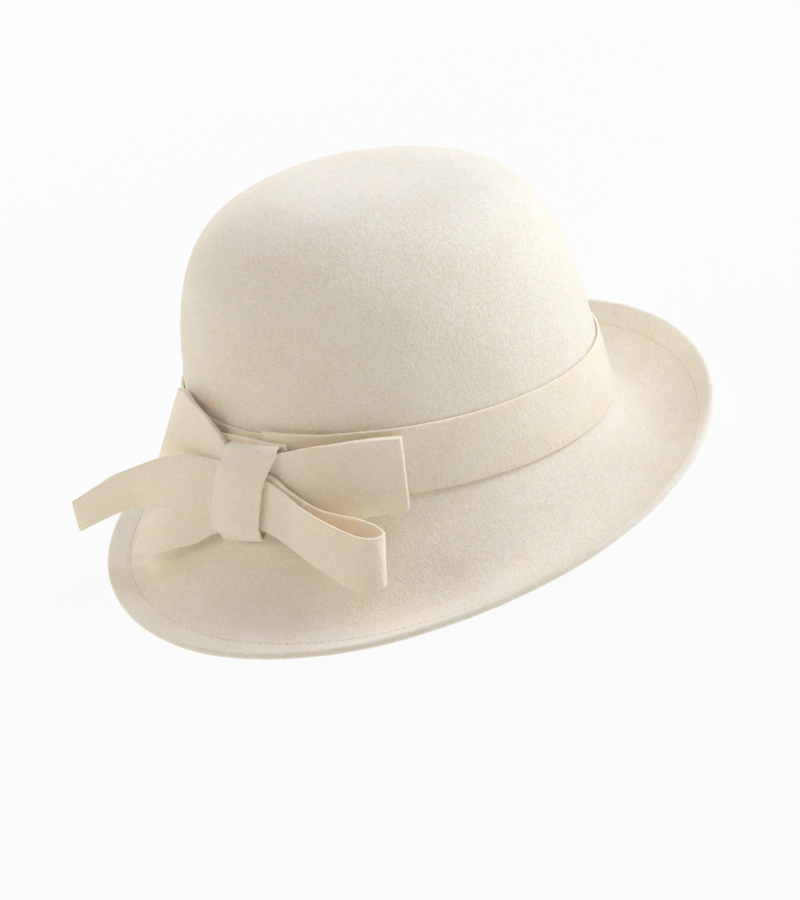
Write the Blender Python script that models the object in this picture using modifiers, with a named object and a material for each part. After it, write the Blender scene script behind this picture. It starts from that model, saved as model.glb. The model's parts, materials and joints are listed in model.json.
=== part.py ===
"""Cream felt cloche hat with a felt band and a lopsided felt bow.

The hat stands on the underside of its brim. Frame: metres, +Z up, the wearer faces -Y and the
wearer's left side is +X. The brim rests on z = 0 and the crown leans back toward +Y.

Two sets of coordinates are used. Brim sections are given by an angle around the head (0 at the
front, 90 at the wearer's left), a distance outward and a height over the ground. Everything that
sits on the crown is given by the same angle, a height along the crown's own axis from the band's
lower edge, and a distance outward from the crown's wall.
"""
import math

import bmesh
import bpy
import numpy as np

# Driving dimensions of the crown, metres
HEAD_HALF_LENGTH = 0.100
HEAD_HALF_WIDTH = 0.085
CROWN_HEIGHT = 0.1229
CROWN_SHOULDER = 4.37
CROWN_TAPER = 0.1294
CROWN_DRIFT_LEFT = 0.0055
CROWN_DRIFT_FRONT = 0.0134
CROWN_LEAN = 9.8
BAND_EDGE_HEIGHT = 0.0363

# How square the dome's shoulder is: a mean, what the front adds and what the left adds
CROWN_DOME = (3.74, -0.51, 0.76)

# How far the head oval's middle lies behind the middle of the whole hat's footprint
HEAD_BEHIND_MIDDLE = 0.0070

# Felt thicknesses and the space left between neighbouring pieces
BODY_FELT = 0.0020
HEM_FELT = 0.0034
BOW_FELT = 0.0014
GAP = 0.0003
LAYER = BOW_FELT + GAP

# Brim: how far the rim stands out, how wide and how high its turned-up lip is.
# Each holds a mean and then the sizes of one, two, three and four waves around the head.
RIM_REACH = (0.0508, 0.0059, -0.0026, 0.0006, -0.0008)
LIP_WIDTH = (0.0198, -0.0048, -0.0017)
LIP_RISE = (0.0083, -0.0081, 0.0011, -0.0005)
REST_STRIP = 0.0040
HEM_WIDTH = 0.0100
HEM_STEP = 0.0004

# Slope of the lip under the hem as a multiple of its mean slope, and the smallest share of the
# lip that stays plain between the resting strip and the hem
LIP_STEEPNESS = 1.6
PLAIN_LIP_SHARE = 0.04

# Band: its height, the angles of its two cut ends, how far the upper edge slips down toward the
# outer end, and how much more the lower edge is lifted away from the overlap
BAND_HEIGHT = 0.032
BAND_INNER_END = 50.0
BAND_OUTER_END = 35.5
BAND_SLIP = 0.0022
BAND_LIFT = 0.0008

# Degrees over which the band's lower edge climbs, its end steps up over the inner end, and its
# upper edge slips, with the angle past the inner end where the step starts and the angle where
# the slip starts
CLIMB_TURN = 30.0
STEP_LEAD = 14.0
STEP_TURN = 12.0
SLIP_FROM = -10.0
SLIP_TURN = 40.0

# How much farther a wing's front layer stands off, and how much higher its upper edge stands,
# between the knot and the fold
FRONT_WING_BELLY = 0.0012
FRONT_WING_RISE = 0.0034
BACK_WING_BELLY = 0.0012
BACK_WING_RISE = 0.0008

# Felt colours as linear red, green and blue, and the felt's roughness
BODY_COLOUR = (0.83, 0.78, 0.68)
BAND_COLOUR = (0.85, 0.78, 0.65)
BOW_COLOUR = (0.85, 0.77, 0.63)
FELT_ROUGHNESS = 0.95

# Mesh steps: around the hat, up the dome, round the rim, round a fold, between two rows of a
# table, and across the width of each strip
COLUMNS = 72
COLUMN_STEP = 360.0 / COLUMNS
CROWN_ROWS = 11
CROWN_SAMPLES = 400
CROWN_TOP_SHARE = 0.99995
RIM_ROUND_STEPS = 4
FOLD_STEPS = 6
ROW_STEPS = 2
STRIP_STEPS = 2
WING_STEPS = 3
KNOT_STEPS = 4
SHARP_ANGLE = 40.0

# Standoff of the band's middle from the crown's wall
BAND_OUT = GAP + BOW_FELT / 2

# Brim's fall from the band's lower edge to the resting strip: share of the way along,
# share of the distance outward, share of the drop
BRIM_FALL = (
    (0.00, 0.00, 0.00),
    (0.33, 0.23, 0.39),
    (0.66, 0.57, 0.77),
    (0.88, 0.85, 0.95),
    (1.00, 1.00, 1.00),
)

BRIM_ROWS = (0.16, 0.33, 0.50, 0.66, 0.78, 0.89)

# Front wing, back layer, from the knot to its far fold. Columns: angle, height and standoff of
# the upper edge, then of the lower edge. Angles in degrees, heights and standoffs as shares of
# the band's height.
FRONT_WING = (
    (30.0, 0.700, 0.200, 28.6, -0.510, 0.280),
    (26.2, 0.698, 0.200, 23.8, -0.555, 0.286),
    (22.8, 0.865, 0.195, 20.4, -0.600, 0.300),
    (19.8, 0.965, 0.180, 17.0, -0.680, 0.335),
    (16.4, 1.040, 0.155, 12.5, -0.860, 0.415),
    (11.1, 1.110, 0.125, 5.7, -1.040, 0.540),
    (5.8, 1.165, 0.095, -0.8, -1.240, 0.705),
    (1.5, 1.185, 0.078, -7.2, -1.420, 0.865),
    (-4.5, 1.120, 0.065, -11.5, -1.560, 1.000),
)

# Back wing, back layer, with the same columns
BACK_WING = (
    (31.8, 0.715, 0.200, 30.6, -0.480, 0.280),
    (37.0, 0.717, 0.201, 35.0, -0.430, 0.272),
    (42.0, 0.772, 0.206, 39.6, -0.330, 0.254),
    (49.7, 0.870, 0.210, 47.1, -0.240, 0.235),
    (57.6, 0.935, 0.212, 54.9, -0.195, 0.232),
    (65.2, 0.970, 0.207, 62.5, -0.165, 0.225),
    (72.4, 0.955, 0.190, 71.0, -0.135, 0.208),
)

# Tail, from behind the knot to its free end, with the same columns
TAIL = (
    (29.6, 0.545, 0.324, 28.6, -0.270, 0.374),
    (24.4, 0.550, 0.328, 23.0, -0.310, 0.386),
    (20.1, 0.540, 0.352, 18.3, -0.350, 0.420),
    (12.9, 0.520, 0.448, 10.9, -0.390, 0.522),
    (6.3, 0.420, 0.640, 2.8, -0.420, 0.680),
    (0.9, 0.234, 0.897, -4.4, -0.560, 0.900),
    (-2.8, 0.053, 1.206, -8.9, -0.750, 1.194),
    (-5.6, -0.166, 1.481, -12.0, -0.940, 1.466),
    (-8.7, -0.447, 1.819, -14.6, -1.160, 1.781),
)

# Loop, from behind the knot along its back layer, round the far bend and back along its front
# layer, with the same columns
LOOP = (
    (30.4, 0.500, 0.324, 29.4, -0.270, 0.374),
    (35.0, 0.515, 0.328, 33.7, -0.310, 0.376),
    (39.4, 0.484, 0.346, 37.6, -0.370, 0.382),
    (43.1, 0.341, 0.392, 41.3, -0.490, 0.400),
    (46.7, 0.209, 0.434, 45.0, -0.620, 0.440),
    (51.1, 0.088, 0.503, 49.7, -0.720, 0.534),
    (56.3, 0.038, 0.584, 55.2, -0.730, 0.653),
    (60.8, 0.030, 0.719, 59.8, -0.730, 0.822),
    (64.0, -0.006, 0.860, 63.1, -0.760, 0.970),
    (65.6, -0.050, 1.000, 64.9, -0.793, 1.100),
    (64.5, -0.059, 1.113, 63.9, -0.812, 1.197),
    (62.1, -0.044, 1.147, 60.8, -0.840, 1.200),
    (59.6, -0.025, 1.069, 58.1, -0.820, 1.116),
    (54.9, 0.044, 0.894, 53.4, -0.703, 0.909),
    (47.6, 0.169, 0.622, 46.2, -0.550, 0.640),
    (43.5, 0.270, 0.472, 41.8, -0.470, 0.490),
    (39.0, 0.410, 0.398, 37.4, -0.375, 0.436),
    (35.0, 0.490, 0.382, 33.4, -0.310, 0.430),
    (30.4, 0.500, 0.379, 29.4, -0.270, 0.429),
)

# Knot from its top roll to its bottom roll. Columns: angle and height of the left edge, angle
# and height of the right edge, standoff of its back and of its front. Heights and standoffs are
# shares of the band's height.
KNOT = (
    (25.6, 0.700, 41.4, 0.753, 0.145, 0.325),
    (24.2, 0.475, 39.4, 0.545, 0.145, 0.438),
    (23.0, 0.245, 37.8, 0.330, 0.145, 0.470),
    (21.8, -0.005, 36.8, 0.105, 0.148, 0.488),
    (21.2, -0.245, 36.0, -0.110, 0.165, 0.500),
    (21.2, -0.410, 35.5, -0.290, 0.193, 0.508),
    (22.0, -0.570, 34.8, -0.450, 0.224, 0.420),
)


def felt_material(name, colour):
    """A matt felt of the given colour, as linear red, green and blue."""
    material = bpy.data.materials.new(name)
    material.use_nodes = True
    shader = material.node_tree.nodes["Principled BSDF"]
    shader.inputs["Base Color"].default_value = (*colour, 1.0)
    shader.inputs["Roughness"].default_value = FELT_ROUGHNESS
    shader.inputs["Metallic"].default_value = 0.0
    material.diffuse_color = (*colour, 1.0)
    return material


def wave(terms, angle):
    """A length that changes around the head, alike on the left and on the right."""
    return sum(term * math.cos(count * angle) for count, term in enumerate(terms))


def fair_curve(knots, position):
    """Value at a position of the smooth curve through rows of (position, value, value...)."""
    rows = np.array(knots, float)
    place = rows[:, 0]
    index = int(np.clip(np.searchsorted(place, position, side="right") - 1, 0, len(place) - 2))
    slopes = np.gradient(rows[:, 1:], place, axis=0)
    length = place[index + 1] - place[index]
    t = (position - place[index]) / length
    start, end = rows[index, 1:], rows[index + 1, 1:]
    return (
        (2 * t**3 - 3 * t**2 + 1) * start
        + (t**3 - 2 * t**2 + t) * length * slopes[index]
        + (3 * t**2 - 2 * t**3) * end
        + (t**3 - t**2) * length * slopes[index + 1]
    )


def outward(angle):
    """Unit vector that points away from the head oval at an angle."""
    x = math.sin(angle) / HEAD_HALF_WIDTH
    y = -math.cos(angle) / HEAD_HALF_LENGTH
    return np.array((x, y)) / math.hypot(x, y)


def stand(point):
    """Tip a point of the crown's own frame back by the lean and set it over the ground."""
    lean = math.radians(CROWN_LEAN)
    x, y, z = point
    return np.array((
        x,
        y * math.cos(lean) + z * math.sin(lean) + HEAD_BEHIND_MIDDLE,
        -y * math.sin(lean) + z * math.cos(lean) + BAND_EDGE_HEIGHT,
    ))


def crown_width(share, angle):
    """Share of the head oval that is left at a share of the crown's height."""
    mean, front, left = CROWN_DOME
    dome = mean + front * math.cos(angle) + left * math.sin(angle)
    return max(1 - share**CROWN_SHOULDER, 0) ** (1 / dome) * (1 - CROWN_TAPER * share)


def on_crown(angle, up, out):
    """Point outside the crown's wall; below the band the wall is taken straight down."""
    share = up / CROWN_HEIGHT
    width = crown_width(max(share, 0), angle)
    side = outward(angle)
    drift = max(share, 0)
    return stand((
        HEAD_HALF_WIDTH * math.sin(angle) * width + side[0] * out + CROWN_DRIFT_LEFT * drift,
        -HEAD_HALF_LENGTH * math.cos(angle) * width + side[1] * out - CROWN_DRIFT_FRONT * drift,
        up,
    ))


def crown_heights():
    """Heights of the crown's rows from the band's lower edge up, evenly spread over the dome."""
    top = np.sin(np.linspace(0, math.pi / 2, CROWN_SAMPLES)) ** (2 / CROWN_SHOULDER)
    shares = np.clip(top, BAND_HEIGHT / CROWN_HEIGHT, CROWN_TOP_SHARE)
    across = np.array([crown_width(share, 0.0) for share in shares]) * HEAD_HALF_LENGTH
    steps = np.hypot(np.diff(shares) * CROWN_HEIGHT, np.diff(across))
    run = np.concatenate(((0.0,), np.cumsum(steps)))
    even = np.linspace(0, run[-1], CROWN_ROWS + 1)[:-1]
    dome = np.interp(even, run, shares) * CROWN_HEIGHT
    return [0.0, BAND_HEIGHT / 2, *dome]


def brim_section(angle):
    """Top of the brim at one angle: rows of (distance outward, height, felt thickness)."""
    base = on_crown(angle, 0.0, 0.0)
    reach = wave(RIM_REACH, angle)
    width = wave(LIP_WIDTH, angle)
    rise = wave(LIP_RISE, angle)
    rest_inner = reach - width - REST_STRIP / 2
    rest_outer = rest_inner + REST_STRIP
    drop = base[2] - BODY_FELT
    rows = []
    for share in BRIM_ROWS:
        out_share, drop_share = fair_curve(BRIM_FALL, share)
        rows.append((rest_inner * out_share, base[2] - drop * drop_share, BODY_FELT))
    rows.append((rest_inner, BODY_FELT, BODY_FELT))
    rows.append((rest_outer, BODY_FELT, BODY_FELT))
    span = reach - rest_outer
    hem_start = max(1 - HEM_WIDTH / math.hypot(span, LIP_STEEPNESS * rise), PLAIN_LIP_SHARE)
    step = HEM_STEP / span
    for share, felt in (
        (hem_start * 0.5, BODY_FELT),
        (hem_start - step, BODY_FELT),
        (hem_start + step, HEM_FELT),
        ((hem_start + 1) / 2, HEM_FELT),
        (1.0, HEM_FELT),
    ):
        rows.append((rest_outer + span * share, BODY_FELT + rise * share**2, felt))
    return base, rows


def body_rows():
    """Rows of points down the outside, around the rim and back up the inside."""
    angles = [math.radians(COLUMN_STEP * column) for column in range(COLUMNS)]
    heights = crown_heights()
    crown = [[on_crown(angle, height, 0.0) for angle in angles] for height in reversed(heights)]
    sections = [brim_section(angle) for angle in angles]
    brim = []
    for row in range(len(sections[0][1])):
        ring = []
        for angle, (base, rows) in zip(angles, sections):
            out, height, _ = rows[row]
            side = outward(angle) * out
            ring.append(np.array((base[0] + side[0], base[1] + side[1], height)))
        brim.append(ring)
    outer = np.array(crown + brim)
    felt = [BODY_FELT] * len(crown) + [row[2] for row in sections[0][1]]
    along = np.gradient(outer, axis=0)
    around = np.roll(outer, -1, axis=1) - np.roll(outer, 1, axis=1)
    normal = np.cross(around, along)
    normal /= np.linalg.norm(normal, axis=2, keepdims=True)
    normal *= np.sign(normal[0, 0, 2])
    flat = len(crown) + len(BRIM_ROWS)
    normal[flat:flat + 2] = (0.0, 0.0, 1.0)
    inner = outer - normal * np.array(felt)[:, None, None]
    inner[..., 2] = np.maximum(inner[..., 2], 0.0)
    middle = (outer[-1] + inner[-1]) / 2
    half = (outer[-1] - inner[-1]) / 2
    thrust = outer[-1] - outer[-2]
    thrust -= half * (np.sum(thrust * half, axis=1) / np.sum(half * half, axis=1))[:, None]
    thrust *= (np.linalg.norm(half, axis=1) / np.linalg.norm(thrust, axis=1))[:, None]
    rim = []
    for step in range(1, RIM_ROUND_STEPS):
        turn = math.pi * step / RIM_ROUND_STEPS
        rim.append(middle + thrust * math.sin(turn) + half * math.cos(turn))
    rim = np.array(rim)
    rim[..., 2] = np.maximum(rim[..., 2], 0.0)
    return list(outer) + list(rim) + list(inner[::-1])


def mesh_object(name, bm, material, collection):
    """Turn the drawn faces outward and place them as a named, smoothly shaded object."""
    bmesh.ops.recalc_face_normals(bm, faces=bm.faces)
    mesh = bpy.data.meshes.new(name)
    bm.to_mesh(mesh)
    bm.free()
    mesh.materials.append(material)
    thing = bpy.data.objects.new(name, mesh)
    collection.objects.link(thing)
    mesh.shade_smooth()
    mesh.set_sharp_from_angle(angle=math.radians(SHARP_ANGLE))
    return thing


def build_body(collection, material):
    """One blocked piece of felt: crown, brim, turned-up lip and folded hem."""
    bm = bmesh.new()
    rings = [[bm.verts.new(point) for point in row] for row in body_rows()]
    for upper, lower in zip(rings, rings[1:]):
        for column in range(COLUMNS):
            after = (column + 1) % COLUMNS
            bm.faces.new((upper[column], lower[column], lower[after], upper[after]))
    top = on_crown(0.0, CROWN_HEIGHT, 0.0)
    below = top - (0.0, 0.0, BODY_FELT)
    for ring, tip in ((rings[0], top), (rings[-1], below)):
        peak = bm.verts.new(tip)
        for column in range(COLUMNS):
            bm.faces.new((ring[column], ring[(column + 1) % COLUMNS], peak))
    return mesh_object("felt_body", bm, material, collection)


def build_ribbon(name, rows, across, closed, collection, material):
    """A strip of felt through rows of upper and lower edge places on the crown.

    Each row holds the angle, height and standoff of the upper edge, then of the lower edge.
    """
    bm = bmesh.new()
    lines = []
    for row in rows:
        upper, lower = np.array(row[:3]), np.array(row[3:])
        line = []
        for step in range(across + 1):
            angle, up, out = upper + (lower - upper) * step / across
            line.append(bm.verts.new(on_crown(math.radians(angle), up, out)))
        lines.append(line)
    followers = lines[1:] + lines[:1] if closed else lines[1:]
    for here, there in zip(lines, followers):
        for step in range(across):
            bm.faces.new((here[step], there[step], there[step + 1], here[step + 1]))
    thing = mesh_object(name, bm, material, collection)
    thick = thing.modifiers.new("felt", "SOLIDIFY")
    thick.thickness = BOW_FELT
    thick.offset = 0.0
    return thing


def in_metres(table):
    """Table rows with heights and standoffs turned from shares of the band's height."""
    scale = np.array((1.0, BAND_HEIGHT, BAND_HEIGHT, 1.0, BAND_HEIGHT, BAND_HEIGHT))
    return [np.array(row) * scale for row in table]


def eased(rows):
    """Smooth path through rows, with a few steps between each pair."""
    knots = [(index, *row) for index, row in enumerate(rows)]
    last = len(rows) - 1
    return [fair_curve(knots, place) for place in np.linspace(0, last, last * ROW_STEPS + 1)]


def folded(table, belly, rise):
    """Back layer out to the fold, a round fold, and the front layer back to the knot.

    Between the two the front layer stands off by the belly and its upper edge is raised.
    """
    back = eased(in_metres(table))
    count = len(back)
    front = []
    for index, row in enumerate(back):
        share = index / (count - 1)
        between = math.sin(math.pi * share) ** 2
        bulge = LAYER + belly * share * between
        front.append(row + (0, rise * between, bulge, 0, 0, bulge))
    heading = np.sign(back[-1][0] - back[0][0])
    reach = math.degrees(LAYER / 2 / HEAD_HALF_LENGTH)
    fold = []
    for step in range(1, FOLD_STEPS):
        turn = math.pi * step / FOLD_STEPS
        swing = heading * reach * math.sin(turn)
        share = (1 - math.cos(turn)) / 2
        fold.append(back[-1] + (swing, 0, LAYER * share, swing, 0, LAYER * share))
    return back + fold + front[::-1]


def band_rows():
    """The band from its hidden inner end, once around the crown, to its outer cut end."""
    end = BAND_OUTER_END - 360.0
    middle_steps = np.arange(BAND_INNER_END - COLUMN_STEP, end, -COLUMN_STEP)
    rows = []
    for angle in (BAND_INNER_END, *middle_steps, end):
        climb = np.clip((angle - end) / CLIMB_TURN, 0.0, 1.0)
        over = np.clip((BAND_INNER_END + STEP_LEAD - 360.0 - angle) / STEP_TURN, 0.0, 1.0)
        slip = BAND_SLIP * np.clip((angle - SLIP_FROM) / SLIP_TURN, 0.0, 1.0)
        out = BAND_OUT + LAYER * over
        lift = GAP + BAND_LIFT * (1 - climb)
        rows.append((angle, BAND_HEIGHT - slip, out, angle, lift, out))
    return rows


def roll(row, low, high, heading):
    """Half-round path from one standoff to another past the edge of the bow's stacked layers."""
    left, left_up, right, right_up = row[:4]
    middle, radius = (low + high) / 2, (high - low) / 2
    path = []
    for step in range(1, FOLD_STEPS):
        turn = math.pi * step / FOLD_STEPS
        out = middle - radius * math.cos(turn)
        over = heading * abs(radius) * math.sin(turn)
        path.append((left, left_up + over, out, right, right_up + over, out))
    return path


def knot_rows():
    """Closed strip around the middle of the bow, as rows of left and right edge places."""
    rows = eased(KNOT)
    front = [(*row[:2], row[5], *row[2:4], row[5]) for row in rows]
    back = [(*row[:2], row[4], *row[2:4], row[4]) for row in rows]
    under = roll(rows[-1], rows[-1][5], rows[-1][4], -1)
    over = roll(rows[0], rows[0][4], rows[0][5], 1)
    return in_metres(front + under + back[::-1] + over)


def build_hat():
    """Draw every piece of the hat in its collection."""
    hat = bpy.data.collections.new("felt_cloche_hat")
    bpy.context.scene.collection.children.link(hat)
    body_felt = felt_material("cream_body_felt", BODY_COLOUR)
    band_felt = felt_material("cream_band_felt", BAND_COLOUR)
    bow_felt = felt_material("cream_bow_felt", BOW_COLOUR)
    build_body(hat, body_felt)
    build_ribbon("hat_band", band_rows(), STRIP_STEPS, False, hat, band_felt)
    front_wing = folded(FRONT_WING, FRONT_WING_BELLY, FRONT_WING_RISE)
    build_ribbon("bow_wing_front", front_wing, WING_STEPS, False, hat, bow_felt)
    back_wing = folded(BACK_WING, BACK_WING_BELLY, BACK_WING_RISE)
    build_ribbon("bow_wing_back", back_wing, STRIP_STEPS, False, hat, bow_felt)
    build_ribbon("bow_loop", eased(in_metres(LOOP)), STRIP_STEPS, False, hat, bow_felt)
    build_ribbon("bow_tail", eased(in_metres(TAIL)), STRIP_STEPS, False, hat, bow_felt)
    build_ribbon("bow_knot", knot_rows(), KNOT_STEPS, True, hat, bow_felt)


for leftover in list(bpy.data.objects):
    bpy.data.objects.remove(leftover)
build_hat()
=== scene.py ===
# %% [markdown]
# # A cream felt cloche hat with a lopsided felt bow
#
# The real hat starts as one cone of wet wool felt that is steamed over a wooden block. A strip
# of the same felt goes round the foot of the crown, and more strips make a flat bow. The solid
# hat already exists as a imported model, so this lesson keeps its sizes and gives every piece its
# true surface: the round hem with its stitches, the cut edges, the folds and the short nap.

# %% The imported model
import json
import math

import bmesh
import bpy
import numpy as np
from mathutils import Matrix, Vector, noise

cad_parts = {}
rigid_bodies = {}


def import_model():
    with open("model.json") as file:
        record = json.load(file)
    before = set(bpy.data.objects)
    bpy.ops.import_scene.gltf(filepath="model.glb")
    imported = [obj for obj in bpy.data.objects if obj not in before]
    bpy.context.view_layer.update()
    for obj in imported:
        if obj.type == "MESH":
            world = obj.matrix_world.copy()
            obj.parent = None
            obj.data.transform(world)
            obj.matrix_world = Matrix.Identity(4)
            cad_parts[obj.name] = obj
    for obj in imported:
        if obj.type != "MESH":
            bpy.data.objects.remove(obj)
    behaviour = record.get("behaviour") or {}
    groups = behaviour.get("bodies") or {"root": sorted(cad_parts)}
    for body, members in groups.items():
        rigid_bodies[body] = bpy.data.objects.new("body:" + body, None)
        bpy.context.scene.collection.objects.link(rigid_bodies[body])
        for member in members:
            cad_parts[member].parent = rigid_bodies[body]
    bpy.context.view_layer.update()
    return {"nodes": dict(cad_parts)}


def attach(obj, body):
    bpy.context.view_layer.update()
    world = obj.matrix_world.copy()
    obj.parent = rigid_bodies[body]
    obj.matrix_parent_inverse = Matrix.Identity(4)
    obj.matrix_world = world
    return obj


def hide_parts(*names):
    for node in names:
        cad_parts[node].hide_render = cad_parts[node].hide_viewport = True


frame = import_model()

print("nodes:", sorted(frame["nodes"]))

# %% [markdown]
# ## The sizes of the hat
#
# A hat is measured around the head, by an angle that is 0 at the forehead and 90 over the left
# ear. The brim adds a distance outward and a height over the table. What sits on the crown has
# a height up the crown's own leaning axis and a distance out from its wall. These are the sizes
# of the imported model, in metres, so that each piece lands on its own solid.

# %% Sizes of the felt body
HEAD_HALF_LENGTH = 0.100
HEAD_HALF_WIDTH = 0.085
CROWN_HEIGHT = 0.1229
CROWN_SHOULDER = 4.37
CROWN_DOME = (3.74, -0.51, 0.76)
CROWN_TAPER = 0.1294
CROWN_DRIFT_LEFT = 0.0055
CROWN_DRIFT_FRONT = 0.0134
CROWN_LEAN = math.radians(9.8)
BAND_EDGE_HEIGHT = 0.0363
HEAD_BEHIND_MIDDLE = 0.0070
BODY_FELT = 0.0020
HEM_FELT = 0.0034
RIM_REACH = (0.0508, 0.0059, -0.0026, 0.0006, -0.0008)
LIP_WIDTH = (0.0198, -0.0048, -0.0017)
LIP_RISE = (0.0083, -0.0081, 0.0011, -0.0005)
REST_STRIP = 0.0040
HEM_WIDTH = 0.0100
LIP_STEEPNESS = 1.6
PLAIN_LIP_SHARE = 0.04
BRIM_FALL = (
    (0.00, 0.00, 0.00),
    (0.33, 0.23, 0.39),
    (0.66, 0.57, 0.77),
    (0.88, 0.85, 0.95),
    (1.00, 1.00, 1.00),
)
print("crown at the band:", 2000 * HEAD_HALF_LENGTH, "by", 2000 * HEAD_HALF_WIDTH, "mm")


# %% Places around the head
def wave(terms, angle):
    """A length that changes around the head, alike on the left and on the right."""
    return sum(term * np.cos(count * angle) for count, term in enumerate(terms))


def outward(angle):
    """Unit vector away from the head oval."""
    x = np.sin(angle) / HEAD_HALF_WIDTH
    y = -np.cos(angle) / HEAD_HALF_LENGTH
    size = np.hypot(x, y)
    return x / size, y / size


def crown_width(share, angle):
    """Share of the head oval that is left at a share of the crown's height."""
    mean, front, left = CROWN_DOME
    square = mean + front * np.cos(angle) + left * np.sin(angle)
    dome = np.clip(1 - share**CROWN_SHOULDER, 0, None) ** (1 / square)
    return dome * (1 - CROWN_TAPER * share)


def on_crown(angle, up, out):
    """Place at an angle in radians, a height up the crown and a distance out from its wall."""
    angle, up, out = np.broadcast_arrays(angle, up, out)
    share = np.maximum(up / CROWN_HEIGHT, 0)
    width = crown_width(share, angle)
    side_x, side_y = outward(angle)
    x = HEAD_HALF_WIDTH * np.sin(angle) * width + side_x * out + CROWN_DRIFT_LEFT * share
    y = -HEAD_HALF_LENGTH * np.cos(angle) * width + side_y * out - CROWN_DRIFT_FRONT * share
    lean_y = y * math.cos(CROWN_LEAN) + up * math.sin(CROWN_LEAN) + HEAD_BEHIND_MIDDLE
    lean_z = -y * math.sin(CROWN_LEAN) + up * math.cos(CROWN_LEAN) + BAND_EDGE_HEIGHT
    return np.stack((x, lean_y, lean_z), axis=-1)


def fair_curve(knots, position):
    """Smooth curve through rows of (position, value, value...), read at many positions."""
    rows = np.array(knots, float)
    position = np.asarray(position, float)
    place = rows[:, 0]
    index = np.clip(np.searchsorted(place, position, side="right") - 1, 0, len(place) - 2)
    slopes = np.gradient(rows[:, 1:], place, axis=0)
    length = (place[index + 1] - place[index])[..., None]
    t = (position - place[index])[..., None] / length
    return (
        (2 * t**3 - 3 * t**2 + 1) * rows[index, 1:]
        + (t**3 - 2 * t**2 + t) * length * slopes[index]
        + (3 * t**2 - 2 * t**3) * rows[index + 1, 1:]
        + (t**3 - t**2) * length * slopes[index + 1]
    )


print("band's lower edge over the left ear:", on_crown(math.pi / 2, 0.0, 0.0).round(4))

# %% [markdown]
# ## A sheet that takes a shape
#
# Felt is a sheet that is pressed over a form. The same is done here: a flat grid comes from one
# operator, and each of its points is then laid on the form. A grid keeps its rows and columns,
# so it shades evenly and can carry a map of the felt's own length and width.

# %% Lay a grid on a form
SHARP_FROM = math.radians(42)
SAME_PLACE = 1e-6


def smooth_piece(name, bm):
    """Make a named object with smooth faces from a finished bmesh."""
    bmesh.ops.recalc_face_normals(bm, faces=bm.faces)
    mesh = bpy.data.meshes.new(name)
    bm.to_mesh(mesh)
    bm.free()
    mesh.shade_smooth()
    mesh.set_sharp_from_angle(angle=SHARP_FROM)
    piece = bpy.data.objects.new(name, mesh)
    bpy.context.scene.collection.objects.link(piece)
    return piece


def sheet_of_felt(name, places):
    """Lay a flat grid on an array of places, one for each row and column."""
    rows, columns = places.shape[:2]
    bm = bmesh.new()
    bm.loops.layers.uv.new("felt")
    bmesh.ops.create_grid(
        bm, x_segments=columns - 1, y_segments=rows - 1, size=0.5, calc_uvs=True
    )
    for vert in bm.verts:
        column = round((vert.co.x + 0.5) * (columns - 1))
        row = round((vert.co.y + 0.5) * (rows - 1))
        vert.co = places[row, column]
    bmesh.ops.remove_doubles(bm, verts=bm.verts, dist=SAME_PLACE)
    bmesh.ops.dissolve_degenerate(bm, edges=bm.edges, dist=SAME_PLACE)
    return smooth_piece(name, bm)


# %% [markdown]
# ## The felt body
#
# Crown and brim are one piece of felt, so they are one sheet here too: down the outside of the
# crown, over the brim, round the rim and back up the inside. Steamed felt is never quite even,
# so a slow wave of a third of a millimetre moves it in and out. It is calm where the band lies
# and where the brim rests. The hem is folded to the underside and sewn, and the thread pulls a
# shallow groove into the top.

# %% Sizes of the body's finish
AROUND = 288
CROWN_LINES = 58
BRIM_LINES = 28
REST_LINES = 3
PLAIN_LINES = 13
HEM_LINES = 22
RIM_LINES = 8
PROFILE_SAMPLES = 3000
PLAIN_CROWDING = 1.7
HEM_CROWDING = 1.5
GROOVE_FROM_HEM = 0.0006
GROOVE_DEPTH = 0.00022
GROOVE_HALF_WIDTH = 0.0009
HEM_PUFF = 0.00030
HEM_ROUNDNESS = 0.8
HEM_EDGE = 0.0001
SLOW_WAVE = 0.00030
SLOW_WAVE_SIZE = 0.034
SLOW_WAVE_SEED = 3.1
QUICK_WAVE = 0.00005
QUICK_WAVE_SIZE = 0.0045
QUICK_WAVE_SEED = 7.7
BAND_CALM = (14.0, 0.6)
REST_CALM = (6.0, 0.3)
print("hem:", HEM_WIDTH * 1000, "mm wide and", HEM_FELT * 1000, "mm thick")


# %% Rows of the crown and brim
def crown_heights():
    """Heights from the crown's top down to the band's lower edge, evenly spread."""
    shares = np.sin(np.linspace(0, math.pi / 2, PROFILE_SAMPLES)) ** (2 / CROWN_SHOULDER)
    across = crown_width(shares, 0.0) * HEAD_HALF_LENGTH
    steps = np.hypot(np.diff(shares) * CROWN_HEIGHT, np.diff(across))
    run = np.concatenate(((0.0,), np.cumsum(steps)))
    return np.interp(np.linspace(run[-1], 0, CROWN_LINES + 1), run, shares) * CROWN_HEIGHT


def on_brim(angle, out, height):
    """Place at a distance out from the foot of the crown and a height over the table."""
    foot = on_crown(angle, 0.0, 0.0)
    side_x, side_y = outward(angle)
    x = foot[..., 0] + side_x * out
    y = foot[..., 1] + side_y * out
    return np.stack((x, y, np.broadcast_to(height, x.shape)), axis=-1)


def on_lip(angle, share):
    """Place at a share of the lip, from the resting strip to the rim."""
    reach = wave(RIM_REACH, angle)
    start = reach - wave(LIP_WIDTH, angle) + REST_STRIP / 2
    return on_brim(angle, start + (reach - start) * share,
                   BODY_FELT + wave(LIP_RISE, angle) * share**2)


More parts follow.
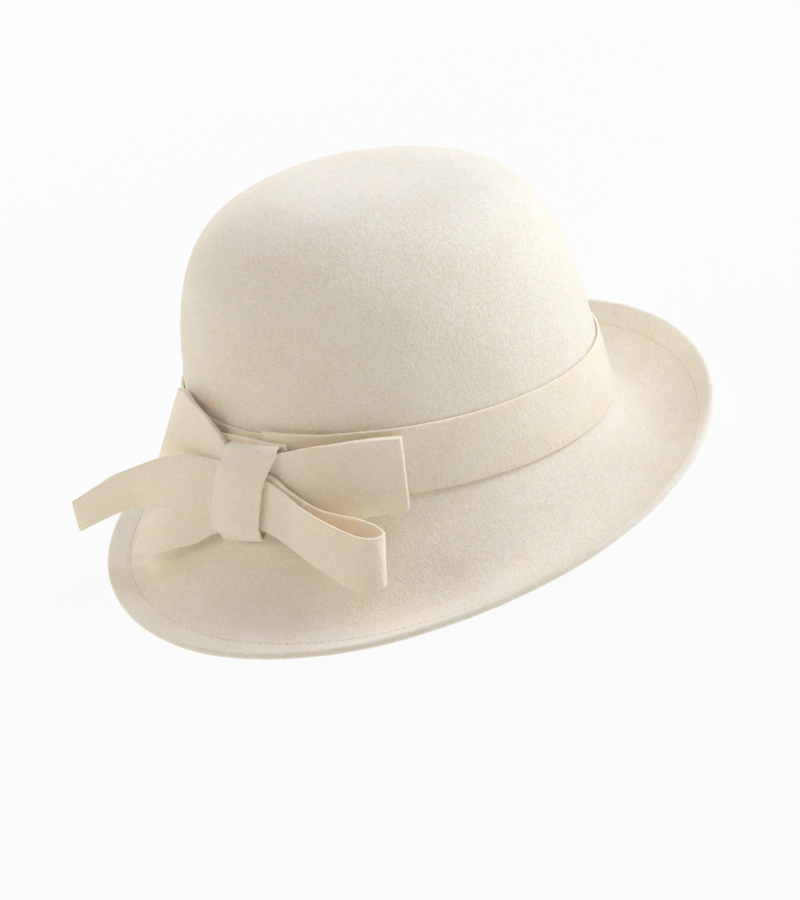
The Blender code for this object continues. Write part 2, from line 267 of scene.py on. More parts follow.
def hem_share(angle):
    """Share of the lip at which the hem starts."""
    span = wave(LIP_WIDTH, angle) - REST_STRIP / 2
    lip = np.hypot(span, LIP_STEEPNESS * wave(LIP_RISE, angle))
    return np.maximum(1 - HEM_WIDTH / lip, PLAIN_LIP_SHARE), HEM_EDGE / span


def outside_rows(angle):
    """Places down the crown's outside and over the brim to the rim, and the hem's first row."""
    foot = on_crown(angle, 0.0, 0.0)
    rest_inner = wave(RIM_REACH, angle) - wave(LIP_WIDTH, angle) - REST_STRIP / 2
    rows = [on_crown(angle, height, 0.0) for height in crown_heights()]
    for out, drop in fair_curve(BRIM_FALL, np.linspace(0, 1, BRIM_LINES + 1)[1:]):
        height = foot[..., 2] - (foot[..., 2] - BODY_FELT) * drop
        rows.append(on_brim(angle, rest_inner * out, height))
    for share in np.linspace(0, 1, REST_LINES)[1:]:
        rows.append(on_brim(angle, rest_inner + REST_STRIP * share, BODY_FELT))
    hem, edge = hem_share(angle)
    for share in 1 - (1 - np.linspace(0, 1, PLAIN_LINES)[1:]) ** PLAIN_CROWDING:
        rows.append(on_lip(angle, (hem - edge) * share))
    hem_row = len(rows)
    for share in np.linspace(0, 1, HEM_LINES) ** HEM_CROWDING:
        rows.append(on_lip(angle, hem + edge + (1 - hem - edge) * share))
    return np.array(rows), hem_row


angles = np.linspace(0, 2 * math.pi, AROUND, endpoint=False)
outside, HEM_ROW = outside_rows(angles)
REST_ROW = CROWN_LINES + BRIM_LINES
print("rows down the outside:", len(outside), "of which the hem starts at", HEM_ROW)

# %% [markdown]
# The felt's thickness is set off from the outside along each point's own normal. The cross
# product of the step around and the step down gives that normal. At the very top every step
# around is nothing, so the crown's axis is the normal there.

# %% Normals, groove and slow waves
NO_LENGTH = 1e-12
ROW_NEAR_TOP = 5


def normals_of(places):
    """Outward normals of a grid of places that closes on itself around."""
    around = np.roll(places, -1, axis=1) - np.roll(places, 1, axis=1)
    normal = np.cross(around, np.gradient(places, axis=0))
    size = np.linalg.norm(normal, axis=2, keepdims=True)
    normal = normal / np.maximum(size, NO_LENGTH)
    normal *= np.sign(normal[ROW_NEAR_TOP, 0, 2])
    normal[0] = (0.0, math.sin(CROWN_LEAN), math.cos(CROWN_LEAN))
    return normal


def run_from_hem(places):
    """Distance along each column from the hem's first row, positive toward the rim."""
    steps = np.linalg.norm(np.diff(places, axis=0), axis=2)
    run = np.concatenate((np.zeros((1, places.shape[1])), np.cumsum(steps, axis=0)))
    return run - run[HEM_ROW]


def unevenness(places, size, seed):
    """Soft noise between -1 and 1 at each place."""
    flat = places.reshape(-1, 3) / size + seed
    return np.array([noise.noise(Vector(spot)) for spot in flat]).reshape(places.shape[:-1])


def share_away(row, reach, still):
    """Share that grows from 0 near a row to 1 far from it, both counted in rows."""
    return np.clip(np.abs(row_number - row) / reach - still, 0, 1)


normal = normals_of(outside)
normal[REST_ROW:REST_ROW + REST_LINES] = (0.0, 0.0, 1.0)
run = run_from_hem(outside)
row_number = np.arange(len(outside))[:, None]
loose = share_away(CROWN_LINES, *BAND_CALM) * share_away(REST_ROW, *REST_CALM)
press = SLOW_WAVE * unevenness(outside, SLOW_WAVE_SIZE, SLOW_WAVE_SEED) * loose
press += QUICK_WAVE * unevenness(outside, QUICK_WAVE_SIZE, QUICK_WAVE_SEED) * loose
shape = outside + normal * press[..., None]
groove = -GROOVE_DEPTH * np.exp(-((run - GROOVE_FROM_HEM) / GROOVE_HALF_WIDTH) ** 2)
puff = HEM_PUFF * np.sin(np.pi * np.clip(run / HEM_WIDTH, 0, 1)) ** HEM_ROUNDNESS
skin = shape + normal * (groove + puff)[..., None]
print("groove is", round(-groove.min() * 1000, 2), "mm deep")

# %% [markdown]
# The rim is a half circle from the top of the last row to its underside. Half of the felt's
# thickness is its radius, and the way the brim runs, squared to that thickness, is the way that
# it bulges.

# %% The felt body
felt = np.where(row_number >= HEM_ROW, HEM_FELT, BODY_FELT)
lining = shape - normal * felt[..., None]
lining[..., 2] = np.maximum(lining[..., 2], 0.0)
middle = (skin[-1] + lining[-1]) / 2
half = (skin[-1] - lining[-1]) / 2
thrust = skin[-1] - skin[-2]
thrust -= half * (np.sum(thrust * half, axis=1) / np.sum(half * half, axis=1))[:, None]
thrust *= (np.linalg.norm(half, axis=1) / np.linalg.norm(thrust, axis=1))[:, None]
turns = np.pi * np.arange(1, RIM_LINES) / RIM_LINES
rim = np.array([middle + thrust * np.sin(turn) + half * np.cos(turn) for turn in turns])
rim[..., 2] = np.maximum(rim[..., 2], 0.0)
wall = np.concatenate((skin, rim, lining[::-1]))
wall = np.concatenate((wall, wall[:, :1]), axis=1)
body = sheet_of_felt("felt_body_surface", wall)
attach(body, "root")
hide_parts("felt_body")
print("felt body:", len(body.data.polygons), "faces")

# %% [markdown]
# ## The hem's stitches
#
# A sewing machine runs once round the brim. Each stitch is a short piece of thread that dips into
# the felt at both ends. One small sphere with few faces, drawn long and laid along the groove,
# is enough for each: at this size the eye reads the row and not the single thread.

# %% Stitches
STITCH_PITCH = 0.0034
STITCH_HALF_LENGTH = 0.00140
STITCH_HALF_WIDTH = 0.00021
STITCH_PROUD = 0.00006
STITCH_SIDES = 6
STITCH_RINGS = 4


def stitch_line(name, places, normal):
    """Row of stitches along a closed line of places, with a normal at each place."""
    closed = np.concatenate((places, places[:1]))
    run = np.concatenate(((0.0,), np.cumsum(np.linalg.norm(np.diff(closed, axis=0), axis=1))))
    count = round(run[-1] / STITCH_PITCH)
    stops = np.arange(count) * run[-1] / count
    spots = np.stack([np.interp(stops, run, closed[:, axis]) for axis in range(3)], axis=1)
    heads = np.concatenate((normal, normal[:1]))
    heads = np.stack([np.interp(stops, run, heads[:, axis]) for axis in range(3)], axis=1)
    spots[:, 2] = np.maximum(spots[:, 2], STITCH_HALF_WIDTH + STITCH_PROUD)
    ahead = np.roll(spots, -1, axis=0) - np.roll(spots, 1, axis=0)
    bm = bmesh.new()
    for spot, up, way in zip(spots, heads, ahead):
        along = Vector(way).normalized()
        top = Vector(up).normalized()
        side = top.cross(along).normalized()
        turn = Matrix((along, side, top)).transposed().to_4x4()
        size = Matrix.Diagonal((STITCH_HALF_LENGTH, STITCH_HALF_WIDTH, STITCH_HALF_WIDTH, 1.0))
        place = Matrix.Translation(Vector(spot) + top * STITCH_PROUD)
        bmesh.ops.create_uvsphere(
            bm, u_segments=STITCH_SIDES, v_segments=STITCH_RINGS, radius=1.0,
            matrix=place @ turn @ size
        )
    piece = smooth_piece(name, bm)
    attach(piece, "root")
    print(name, "has", count, "stitches")
    return piece


groove_row = int(np.argmin(np.abs(run[:, 0] - GROOVE_FROM_HEM)))
seam_top = stitch_line("hem_stitches_top", skin[groove_row], normal[groove_row])
seam_under = stitch_line("hem_stitches_under", lining[groove_row], -normal[groove_row])

# %% [markdown]
# ## Strips of felt
#
# Band and bow are cut from flat felt. A strip is known by its two long edges, so a table gives
# some places of the upper edge and of the lower edge, a smooth curve joins them, and the grid
# fills the space between. Solidify then gives the felt its thickness and Bevel takes the
# sharpness off the cut, as scissors leave it.

# %% Sizes of the strips
BAND_HEIGHT = 0.032
BAND_INNER_END = 50.0
BAND_OUTER_END = 35.5
BAND_SLIP = 0.0022
BAND_LIFT = 0.0008
BAND_ROWS = 420
CLIMB_TURN = 30.0
STEP_LEAD = 14.0
STEP_TURN = 12.0
SLIP_FROM = -10.0
SLIP_TURN = 40.0
BOW_FELT = 0.0014
GAP = 0.0003
LAYER = BOW_FELT + GAP
BAND_OUT = GAP + BOW_FELT / 2
FRONT_WING_BELLY = 0.0012
FRONT_WING_RISE = 0.0034
BACK_WING_BELLY = 0.0012
BACK_WING_RISE = 0.0008
ROW_STEPS = 8
FOLD_STEPS = 12
CUT_ROUNDING = 0.00058
CUT_STEPS = 3
CUT_SHARPER_THAN = math.radians(50)
CUT_WAVE = 0.00016
CUT_WAVE_TURN = 4.0
CUT_WAVE_OUT = 90
CUT_WAVE_SEEDS = ((1, 1.7), (4, 6.3))
print("felt of the bow:", round(BOW_FELT * 1000, 1), "mm thick")


# %% Make a strip
def strip_of_felt(name, rows, across, replaced=None):
    """Felt strip through rows of angle, height and standoff of its two long edges."""
    rows = np.array(rows, float)
    for edge_height, seed in CUT_WAVE_SEEDS:
        spots = [(row[0] / CUT_WAVE_TURN, row[2] * CUT_WAVE_OUT, seed) for row in rows]
        ragged = [noise.noise(Vector(spot)) for spot in spots]
        rows[:, edge_height] += CUT_WAVE * np.array(ragged)
    share = np.linspace(0, 1, across + 1)[None, :, None]
    line = rows[:, None, :3] * (1 - share) + rows[:, None, 3:] * share
    places = on_crown(np.radians(line[..., 0]), line[..., 1], line[..., 2])
    piece = sheet_of_felt(name, places)
    thick = piece.modifiers.new("felt", "SOLIDIFY")
    thick.thickness = BOW_FELT
    thick.offset = 0.0
    thick.use_rim = True
    cut = piece.modifiers.new("cut edge", "BEVEL")
    cut.width = CUT_ROUNDING
    cut.segments = CUT_STEPS
    cut.limit_method = "ANGLE"
    cut.angle_limit = CUT_SHARPER_THAN
    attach(piece, "root")
    if replaced:
        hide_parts(replaced)
    long_edge = np.linalg.norm(np.diff(places[:, across // 2], axis=0), axis=1).sum()
    wide = np.linalg.norm(np.diff(places, axis=1), axis=2).sum(axis=1).mean()
    print(name, round(long_edge * 1000, 1), "mm long,", round(wide * 1000, 1), "mm wide")
    return piece, (wide, long_edge)


def in_metres(table):
    """Table rows with heights and standoffs turned from shares of the band's height."""
    scale = np.array((1.0, BAND_HEIGHT, BAND_HEIGHT, 1.0, BAND_HEIGHT, BAND_HEIGHT))
    return np.array(table) * scale


def eased(rows):
    """Smooth path through rows, with a few steps between each pair."""
    knots = [(index, *row) for index, row in enumerate(rows)]
    return fair_curve(knots, np.linspace(0, len(rows) - 1, (len(rows) - 1) * ROW_STEPS + 1))


# %% [markdown]
# ## The hat band
#
# The band starts behind the bow, runs once round the crown and steps out over its own start, so
# that both cut ends hide behind the knot. Its inner end slips a little lower and its outer end
# lifts a little, as on a band that is wrapped by hand.

# %% The hat band
def band_rows():
    """The band from its hidden inner end, once around the crown, to its outer cut end."""
    end = BAND_OUTER_END - 360.0
    rows = []
    for angle in np.linspace(BAND_INNER_END, end, BAND_ROWS):
        climb = np.clip((angle - end) / CLIMB_TURN, 0.0, 1.0)
        over = np.clip((BAND_INNER_END + STEP_LEAD - 360.0 - angle) / STEP_TURN, 0.0, 1.0)
        slip = BAND_SLIP * np.clip((angle - SLIP_FROM) / SLIP_TURN, 0.0, 1.0)
        out = BAND_OUT + LAYER * over * over * (3 - 2 * over)
        lift = GAP + BAND_LIFT * (1 - climb)
        rows.append((angle, BAND_HEIGHT - slip, out, angle, lift, out))
    return rows


band, band_cut = strip_of_felt(
    "hat_band_strip", band_rows(), across=12, replaced="hat_band"
)

# %% [markdown]
# ## The bow
#
# The bow is not tied. Two flat loops lie left and right, a narrow loop hangs in front of one
# and a tail sticks out past the other, and a strip around the middle holds them all. Each row of
# a table holds the angle, height and standoff of the upper edge and then of the lower edge, with
# heights and standoffs as shares of the band's height. A row of the knot holds the angle and
# height of its left edge, those of its right edge, and the standoffs of its back and its front.

# %% Tables of the bow
FRONT_WING = (
    (30.0, 0.700, 0.200, 28.6, -0.510, 0.280),
    (26.2, 0.698, 0.200, 23.8, -0.555, 0.286),
    (22.8, 0.865, 0.195, 20.4, -0.600, 0.300),
    (19.8, 0.965, 0.180, 17.0, -0.680, 0.335),
    (16.4, 1.040, 0.155, 12.5, -0.860, 0.415),
    (11.1, 1.110, 0.125, 5.7, -1.040, 0.540),
    (5.8, 1.165, 0.095, -0.8, -1.240, 0.705),
    (1.5, 1.185, 0.078, -7.2, -1.420, 0.865),
    (-4.5, 1.120, 0.065, -11.5, -1.560, 1.000),
)
BACK_WING = (
    (31.8, 0.715, 0.200, 30.6, -0.480, 0.280),
    (37.0, 0.717, 0.201, 35.0, -0.430, 0.272),
    (42.0, 0.772, 0.206, 39.6, -0.330, 0.254),
    (49.7, 0.870, 0.210, 47.1, -0.240, 0.235),
    (57.6, 0.935, 0.212, 54.9, -0.195, 0.232),
    (65.2, 0.970, 0.207, 62.5, -0.165, 0.225),
    (72.4, 0.955, 0.190, 71.0, -0.135, 0.208),
)
TAIL = (
    (29.6, 0.545, 0.324, 28.6, -0.270, 0.374),
    (24.4, 0.550, 0.328, 23.0, -0.310, 0.386),
    (20.1, 0.540, 0.352, 18.3, -0.350, 0.420),
    (12.9, 0.520, 0.448, 10.9, -0.390, 0.522),
    (6.3, 0.420, 0.640, 2.8, -0.420, 0.680),
    (0.9, 0.234, 0.897, -4.4, -0.560, 0.900),
    (-2.8, 0.053, 1.206, -8.9, -0.750, 1.194),
    (-5.6, -0.166, 1.481, -12.0, -0.940, 1.466),
    (-8.7, -0.447, 1.819, -14.6, -1.160, 1.781),
)
LOOP = (
    (30.4, 0.500, 0.324, 29.4, -0.270, 0.374),
    (35.0, 0.515, 0.328, 33.7, -0.310, 0.376),
    (39.4, 0.484, 0.346, 37.6, -0.370, 0.382),
    (43.1, 0.341, 0.392, 41.3, -0.490, 0.400),
    (46.7, 0.209, 0.434, 45.0, -0.620, 0.440),
    (51.1, 0.088, 0.503, 49.7, -0.720, 0.534),
    (56.3, 0.038, 0.584, 55.2, -0.730, 0.653),
    (60.8, 0.030, 0.719, 59.8, -0.730, 0.822),
    (64.0, -0.006, 0.860, 63.1, -0.760, 0.970),
    (65.6, -0.050, 1.000, 64.9, -0.793, 1.100),
    (64.5, -0.059, 1.113, 63.9, -0.812, 1.197),
    (62.1, -0.044, 1.147, 60.8, -0.840, 1.200),
    (59.6, -0.025, 1.069, 58.1, -0.820, 1.116),
    (54.9, 0.044, 0.894, 53.4, -0.703, 0.909),
    (47.6, 0.169, 0.622, 46.2, -0.550, 0.640),
    (43.5, 0.270, 0.472, 41.8, -0.470, 0.490),
    (39.0, 0.410, 0.398, 37.4, -0.375, 0.436),
    (35.0, 0.490, 0.382, 33.4, -0.310, 0.430),
    (30.4, 0.500, 0.379, 29.4, -0.270, 0.429),
)
KNOT = (
    (25.6, 0.700, 41.4, 0.753, 0.145, 0.325),
    (24.2, 0.475, 39.4, 0.545, 0.145, 0.438),
    (23.0, 0.245, 37.8, 0.330, 0.145, 0.470),
    (21.8, -0.005, 36.8, 0.105, 0.148, 0.488),
    (21.2, -0.245, 36.0, -0.110, 0.165, 0.500),
    (21.2, -0.410, 35.5, -0.290, 0.193, 0.508),
    (22.0, -0.570, 34.8, -0.450, 0.224, 0.420),
)
print("the tail is drawn through", len(TAIL), "places and the loop through", len(LOOP))


# %% The two flat loops
def folded(table, belly, rise):
    """Back layer out to the fold, a round fold, and the front layer back to the knot."""
    back = eased(in_metres(table))
    share = np.linspace(0, 1, len(back))
    between = np.sin(np.pi * share) ** 2
    bulge = LAYER + belly * share * between
    still = np.zeros(len(back))
    front = back + np.stack((still, rise * between, bulge, still, still, bulge), axis=1)
    heading = np.sign(back[-1][0] - back[0][0])
    reach = math.degrees(LAYER / 2 / HEAD_HALF_LENGTH)
    fold = []
    for step in range(1, FOLD_STEPS):
        turn = math.pi * step / FOLD_STEPS
        swing = heading * reach * math.sin(turn)
        out = LAYER * (1 - math.cos(turn)) / 2
        fold.append(back[-1] + (swing, 0, out, swing, 0, out))
    return np.concatenate((back, fold, front[::-1]))


wing_front, wing_front_cut = strip_of_felt(
    "bow_wing_front_strip", folded(FRONT_WING, FRONT_WING_BELLY, FRONT_WING_RISE),
    across=16, replaced="bow_wing_front"
)
wing_back, wing_back_cut = strip_of_felt(
    "bow_wing_back_strip", folded(BACK_WING, BACK_WING_BELLY, BACK_WING_RISE),
    across=12, replaced="bow_wing_back"
)

# %% The narrow loop and the tail
loop, loop_cut = strip_of_felt(
    "bow_loop_strip", eased(in_metres(LOOP)), across=10,
    replaced="bow_loop"
)
tail, tail_cut = strip_of_felt(
    "bow_tail_strip", eased(in_metres(TAIL)), across=10,
    replaced="bow_tail"
)


# %% The knot
def roll(row, low, high, heading):
    """Half-round path from one standoff to another past the edge of the bow's layers."""
    left, left_up, right, right_up = row[:4]
    centre, radius = (low + high) / 2, (high - low) / 2
    path = []
    for step in range(1, FOLD_STEPS):
        turn = math.pi * step / FOLD_STEPS
        out = centre - radius * math.cos(turn)
        over = heading * abs(radius) * math.sin(turn)
        path.append((left, left_up + over, out, right, right_up + over, out))
    return path


def knot_rows():
    """Closed strip around the middle of the bow, as rows of left and right edge places."""
    rows = eased(KNOT)
    front = [(*row[:2], row[5], *row[2:4], row[5]) for row in rows]
    back = [(*row[:2], row[4], *row[2:4], row[4]) for row in rows]
    under = roll(rows[-1], rows[-1][5], rows[-1][4], -1)
    over = roll(rows[0], rows[0][4], rows[0][5], 1)
    return in_metres(front + under + back[::-1] + over + front[:1])


knot, knot_cut = strip_of_felt(
    "bow_knot_strip", knot_rows(), across=12, replaced="bow_knot"
)

# %% [markdown]
# The ends of the bow's own strips lie one over the other behind the top of the knot. They are
# short cut pieces that lie flat against the band, a little higher than the knot, so their raw
# edges show as a small stack.

# %% The stack of cut ends behind the knot
UPPER_END = (
    (21.6, 0.868, 0.140, 21.6, 0.020, 0.150),
    (26.0, 0.893, 0.140, 26.0, 0.020, 0.150),
    (31.0, 0.900, 0.142, 31.0, 0.020, 0.152),
    (36.0, 0.880, 0.146, 36.0, 0.020, 0.154),
    (40.0, 0.868, 0.148, 40.0, 0.020, 0.156),
    (43.2, 0.862, 0.148, 42.6, 0.020, 0.156),
)
LOWER_END = (
    (22.6, 0.835, 0.088, 22.6, 0.020, 0.094),
    (26.0, 0.858, 0.088, 26.0, 0.020, 0.094),
    (30.0, 0.872, 0.088, 30.0, 0.020, 0.094),
    (33.6, 0.858, 0.090, 33.2, 0.020, 0.096),
)
end_upper, _ = strip_of_felt(
    "bow_cut_end_upper", eased(in_metres(UPPER_END)), across=8
)
end_lower, _ = strip_of_felt(
    "bow_cut_end_lower", eased(in_metres(LOWER_END)), across=8
)

# %% [markdown]
# ## What each strip was cut to
#
# A strip's flat size is printed, so that whoever uses the hat knows how much felt it takes.

# %% Flat sizes
for piece, (wide, long_edge), held, lies_on in (
    (band, band_cut, "stretched", ["felt_body_surface"]),
    (wing_front, wing_front_cut, "folded", ["hat_band_strip", "felt_body_surface"]),
    (wing_back, wing_back_cut, "folded", ["hat_band_strip"]),
    (loop, loop_cut, "folded", ["bow_knot_strip"]),
    (tail, tail_cut, "folded", ["bow_knot_strip"]),
    (knot, knot_cut, "folded", ["bow_wing_front_strip", "bow_wing_back_strip"]),
):
    print(piece.name, "was cut", round(wide * 1000), "by", round(long_edge * 1000), "mm")

# %% [markdown]
# ## Wool felt
#
# Felt is a mat of crimped wool fibres with no weave. It is fully matt, and light that grazes it
# catches the standing fibre ends and leaves a pale rim. A fibre is some hundredths of a
# millimetre thick, too fine to show here, so the grain is drawn as the tufts that fibres mat
# into, one to three millimetres across, over clouds of colour about two centimetres across.
# Wool is a little see-through, so light that has passed between two layers comes out warmer.
# Noise gives the grain, sheen the pale rim and some scattering under the surface the warmth. A
# few dark specks of plant are always left in the wool.

# %% Colours and nodes
def linear(hex_colour):
    """Turn an sRGB hex colour into linear red, green and blue, and add a full alpha."""
    shares = [int(hex_colour[place:place + 2], 16) / 255 for place in (1, 3, 5)]
    shares = [c / 12.92 if c <= 0.04045 else ((c + 0.055) / 1.055) ** 2.4 for c in shares]
    return (*shares, 1.0)


def add(tree, kind, settings=(), **links):
    """Add a node. Each link has its input's name or _number, and a socket or a plain value."""
    node = tree.nodes.new(kind)
    for setting, value in dict(settings).items():
        setattr(node, setting, value)
    for name, value in links.items():
        socket = node.inputs[int(name[1:]) if name[1:].isdigit() else name.replace("_", " ")]
        if isinstance(value, bpy.types.NodeSocket):
            tree.links.new(value, socket)
        else:
            socket.default_value = value
    return node


def finish(name, settings):
    """New material with plain values on its shader's own sockets."""
    material = bpy.data.materials.new(name)
    material.use_nodes = True
    shader = material.node_tree.nodes["Principled BSDF"]
    for socket, value in settings.items():
        shader.inputs[socket].default_value = value
    return material, material.node_tree, shader


print("wool white is", [round(part, 3) for part in linear("#f8f4e7")], "in linear light")

# %% The felt
GRAIN = 0.0012
TUFT = 0.0034
CLOUD = 0.024
GRAIN_IN_COLOUR = 0.75
CLOUD_IN_COLOUR = 0.25
DEEP_BELOW = 0.38
PALE_ABOVE = 0.62
SPECK_CELL = 0.019
SPECK_SIZE = 0.016
SPECK_COLOUR = "#8d7555"
SPECK_STRENGTH = 0.75
TUFT_IN_NAP = 0.8
NAP_HEIGHT = 0.00034
FELT_FINISH = {
    "Roughness": 0.95,
    "Specular IOR Level": 0.12,
    "Sheen Weight": 0.22,
    "Sheen Roughness": 0.45,
    "Sheen Tint": linear("#fff6e4"),
    "Subsurface Weight": 0.3,
    "Subsurface Radius": (1.0, 0.55, 0.22),
    "Subsurface Scale": 0.0016,
}


def wool_felt(name, pale, deep, seed):
    """Matt cream felt: fine grain, soft clouds of colour, sparse dark specks."""
    felt, tree, shader = finish(name, FELT_FINISH)
    place = add(tree, "ShaderNodeTexCoord").outputs["Object"]
    moved = add(tree, "ShaderNodeMapping", Vector=place, Location=(seed, 2 * seed, -seed))
    place = moved.outputs[0]
    grain = add(tree, "ShaderNodeTexNoise", Vector=place, Scale=1 / GRAIN, Detail=3.0,
                Roughness=0.62)
    tuft = add(tree, "ShaderNodeTexNoise", Vector=place, Scale=1 / TUFT, Detail=2.0,
               Roughness=0.55)
    cloud = add(tree, "ShaderNodeTexNoise", Vector=place, Scale=1 / CLOUD, Detail=3.0,
                Roughness=0.5)
    grain_share = add(tree, "ShaderNodeMath", {"operation": "MULTIPLY"},
                      _0=grain.outputs["Fac"], _1=GRAIN_IN_COLOUR)
    mixed = add(tree, "ShaderNodeMath", {"operation": "MULTIPLY_ADD"},
                _0=cloud.outputs["Fac"], _1=CLOUD_IN_COLOUR, _2=grain_share.outputs[0])
    spread = add(tree, "ShaderNodeMapRange", Value=mixed.outputs[0], _1=DEEP_BELOW,
                 _2=PALE_ABOVE)
    cream = add(tree, "ShaderNodeMix", {"data_type": "RGBA"}, _0=spread.outputs[0],
                _6=linear(deep), _7=linear(pale))
    cell = add(tree, "ShaderNodeTexVoronoi", Vector=place, Scale=1 / SPECK_CELL)
    size = add(tree, "ShaderNodeMath", {"operation": "MULTIPLY"}, _0=cell.outputs["Color"],
               _1=SPECK_SIZE)
    speck = add(tree, "ShaderNodeMapRange", Value=cell.outputs["Distance"], _1=0.0,
                _2=size.outputs[0], _3=SPECK_STRENGTH, _4=0.0)
    colour = add(tree, "ShaderNodeMix", {"data_type": "RGBA"}, _0=speck.outputs[0],
                 _6=cream.outputs[2], _7=linear(SPECK_COLOUR))
    height = add(tree, "ShaderNodeMath", {"operation": "MULTIPLY_ADD"},
                 _0=tuft.outputs["Fac"], _1=TUFT_IN_NAP, _2=grain.outputs["Fac"])
    bump = add(tree, "ShaderNodeBump", Height=height.outputs[0], Strength=1.0,
               Distance=NAP_HEIGHT)
    tree.links.new(colour.outputs[2], shader.inputs["Base Color"])
    tree.links.new(bump.outputs["Normal"], shader.inputs["Normal"])
    return felt


body_felt = wool_felt("wool felt, cream, blocked", "#f8f4e7", "#eee6d2", 0.31)
band_felt = wool_felt("wool felt, warm cream, band", "#fef6e7", "#f8e9cf", 0.83)
bow_felt = wool_felt("wool felt, warm cream, bow", "#fff5e7", "#faead2", 1.57)
print("felts:", ", ".join(felt.name for felt in (body_felt, band_felt, bow_felt)))

# %% [markdown]
# The stitches are twisted cotton thread of nearly the felt's colour, a little smoother. Its two
# plies show as a change of shade every four tenths of a millimetre.

# %% Thread and felt on the pieces
THREAD_TWIST = 0.0004
thread, thread_tree, thread_shader = finish("cotton thread, cream", {"Roughness": 0.7})
spot = add(thread_tree, "ShaderNodeTexCoord").outputs["Object"]
strand = add(thread_tree, "ShaderNodeTexNoise", Vector=spot, Scale=1 / THREAD_TWIST,
             Detail=1.0)
twist = add(thread_tree, "ShaderNodeMix", {"data_type": "RGBA"}, _0=strand.outputs["Fac"],
            _6=linear("#dccbaa"), _7=linear("#efe3c8"))
thread_tree.links.new(twist.outputs[2], thread_shader.inputs["Base Color"])
for material, pieces in (
    (body_felt, (body,)),
    (band_felt, (band,)),
    (bow_felt, (wing_front, wing_back, loop, tail, knot, end_upper, end_lower)),
    (thread, (seam_top, seam_under)),
):
    for piece in pieces:
        piece.data.materials.append(material)
    print(material.name, "is on", len(pieces), "pieces")

# %% [markdown]
# ## Floor, light and camera
#
# The hat stands on a white studio floor, a sweep that is lit from behind. So the floor glows
# evenly, hardly takes a shadow, and throws soft white light up under the brim and into the bow.
# The room around it is nearly dark, so that the lamps alone shape the crown.

# %% The studio floor
FLOOR_HALF_SIZE = 4.0
FLOOR_DROP = 0.0002
WHITE = (1.0, 1.0, 1.0, 1.0)
ROOM_LIGHT = 0.02

bm = bmesh.new()
bmesh.ops.create_grid(bm, x_segments=1, y_segments=1, size=FLOOR_HALF_SIZE)
bmesh.ops.translate(bm, verts=bm.verts, vec=(0.0, 0.0, -FLOOR_DROP))
floor = smooth_piece("studio_floor", bm)
paper, _, _ = finish("white paper sweep", {
    "Base Color": linear("#4a4a4a"),
    "Roughness": 1.0,
    "Specular IOR Level": 0.0,
    "Emission Color": WHITE,
    "Emission Strength": 0.91,
})
floor.data.materials.append(paper)

world = bpy.data.worlds.new("white surround")
world.use_nodes = True
surround = world.node_tree.nodes["Background"]
surround.inputs["Color"].default_value = WHITE
surround.inputs["Strength"].default_value = ROOM_LIGHT
bpy.context.scene.world = world
print("floor:", 2 * FLOOR_HALF_SIZE, "m wide")

# %% [markdown]
# The camera looks at the bow from the wearer's left and from above, and is rolled so that the
# hat seems to tip. A long lens keeps the far side of the brim nearly as large as the near one,
# and the shift puts the hat where it is in the picture.

# %% The camera
CAMERA_AROUND = math.radians(74.8)
CAMERA_ABOVE = math.radians(28.55)
CAMERA_ROLL = math.radians(16.16)
CAMERA_DISTANCE = 1.35
PIXELS_PER_METRE = 2124.0
VIEW_WIDE, VIEW_HIGH = 800, 900
VIEW_CENTRE = (421.5, 475.1)
TARGET_HEIGHT = 0.0015
SENSOR = 36.0
NEAREST_SEEN = 0.05

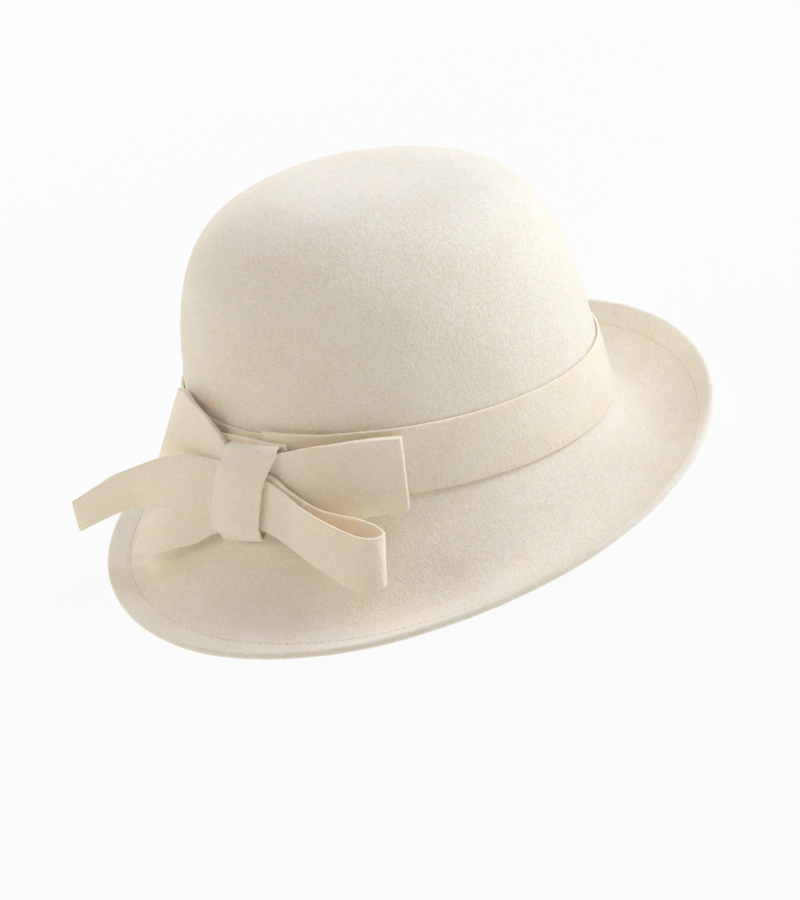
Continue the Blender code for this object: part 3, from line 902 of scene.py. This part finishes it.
ahead = -Vector((
    math.sin(CAMERA_AROUND) * math.cos(CAMERA_ABOVE),
    -math.cos(CAMERA_AROUND) * math.cos(CAMERA_ABOVE),
    math.sin(CAMERA_ABOVE),
))
level = Vector((math.cos(CAMERA_AROUND), math.sin(CAMERA_AROUND), 0.0))
upright = level.cross(ahead)
view_right = level * math.cos(CAMERA_ROLL) - upright * math.sin(CAMERA_ROLL)
view_up = level * math.sin(CAMERA_ROLL) + upright * math.cos(CAMERA_ROLL)
target = Vector((0.0, HEAD_BEHIND_MIDDLE, TARGET_HEIGHT))
lens = bpy.data.cameras.new("camera")
lens.lens = PIXELS_PER_METRE * CAMERA_DISTANCE / VIEW_HIGH * SENSOR
lens.sensor_width = SENSOR
lens.shift_x = -(VIEW_CENTRE[0] - VIEW_WIDE / 2) / VIEW_HIGH
lens.shift_y = (VIEW_CENTRE[1] - VIEW_HIGH / 2) / VIEW_HIGH
lens.clip_start = NEAREST_SEEN
camera = bpy.data.objects.new("camera", lens)
turn = Matrix((view_right, view_up, -ahead)).transposed().to_4x4()
camera.matrix_world = Matrix.Translation(target - ahead * CAMERA_DISTANCE) @ turn
bpy.context.scene.collection.objects.link(camera)
bpy.context.scene.camera = camera
bpy.context.scene.view_settings.view_transform = "Standard"
print("lens", round(lens.lens, 1), "mm")

# %% [markdown]
# Seven soft square lamps stand around the hat, each at the same distance. Two on the right of
# the picture act as windows and light the crown's side, and two behind it draw its bright edge.
# Warm fills from the left and the front and a cool one from the top open the shadows. Each is
# placed by its angle from the camera and its angle above the table, in degrees.

# %% The lights
LIGHT_SIZE = 0.9
LIGHT_DISTANCE = 1.6


def soft_light(name, around, above, power, tint):
    """Square area light, turned from the camera's direction and raised over the table."""
    light = bpy.data.lights.new(name, "AREA")
    light.size = LIGHT_SIZE
    light.energy = power
    light.color = linear(tint)[:3]
    lamp = bpy.data.objects.new(name, light)
    around, above = CAMERA_AROUND + math.radians(around), math.radians(above)
    way = Vector((math.sin(around) * math.cos(above), -math.cos(around) * math.cos(above),
                  math.sin(above)))
    lamp.location = target + way * LIGHT_DISTANCE
    lamp.rotation_euler = (-way).to_track_quat("-Z", "Y").to_euler()
    bpy.context.scene.collection.objects.link(lamp)
    print(name, "gives", power, "W")


for name, around, above, power, tint in (
    ("low window, right", 90, 18, 12.0, "#e9f1ff"),
    ("high window, right", 90, 48, 9.6, "#ffffff"),
    ("edge light, behind", 180, 18, 10.0, "#fff8f0"),
    ("edge light, behind left", 225, 18, 7.2, "#f8fff8"),
    ("fill light, left", 282, 36, 7.0, "#fff4e4"),
    ("fill light, front", 0, 35, 3.0, "#fff0cf"),
    ("top light", 0, 90, 6.0, "#d3daff"),
):
    soft_light(name, around, above, power, tint)
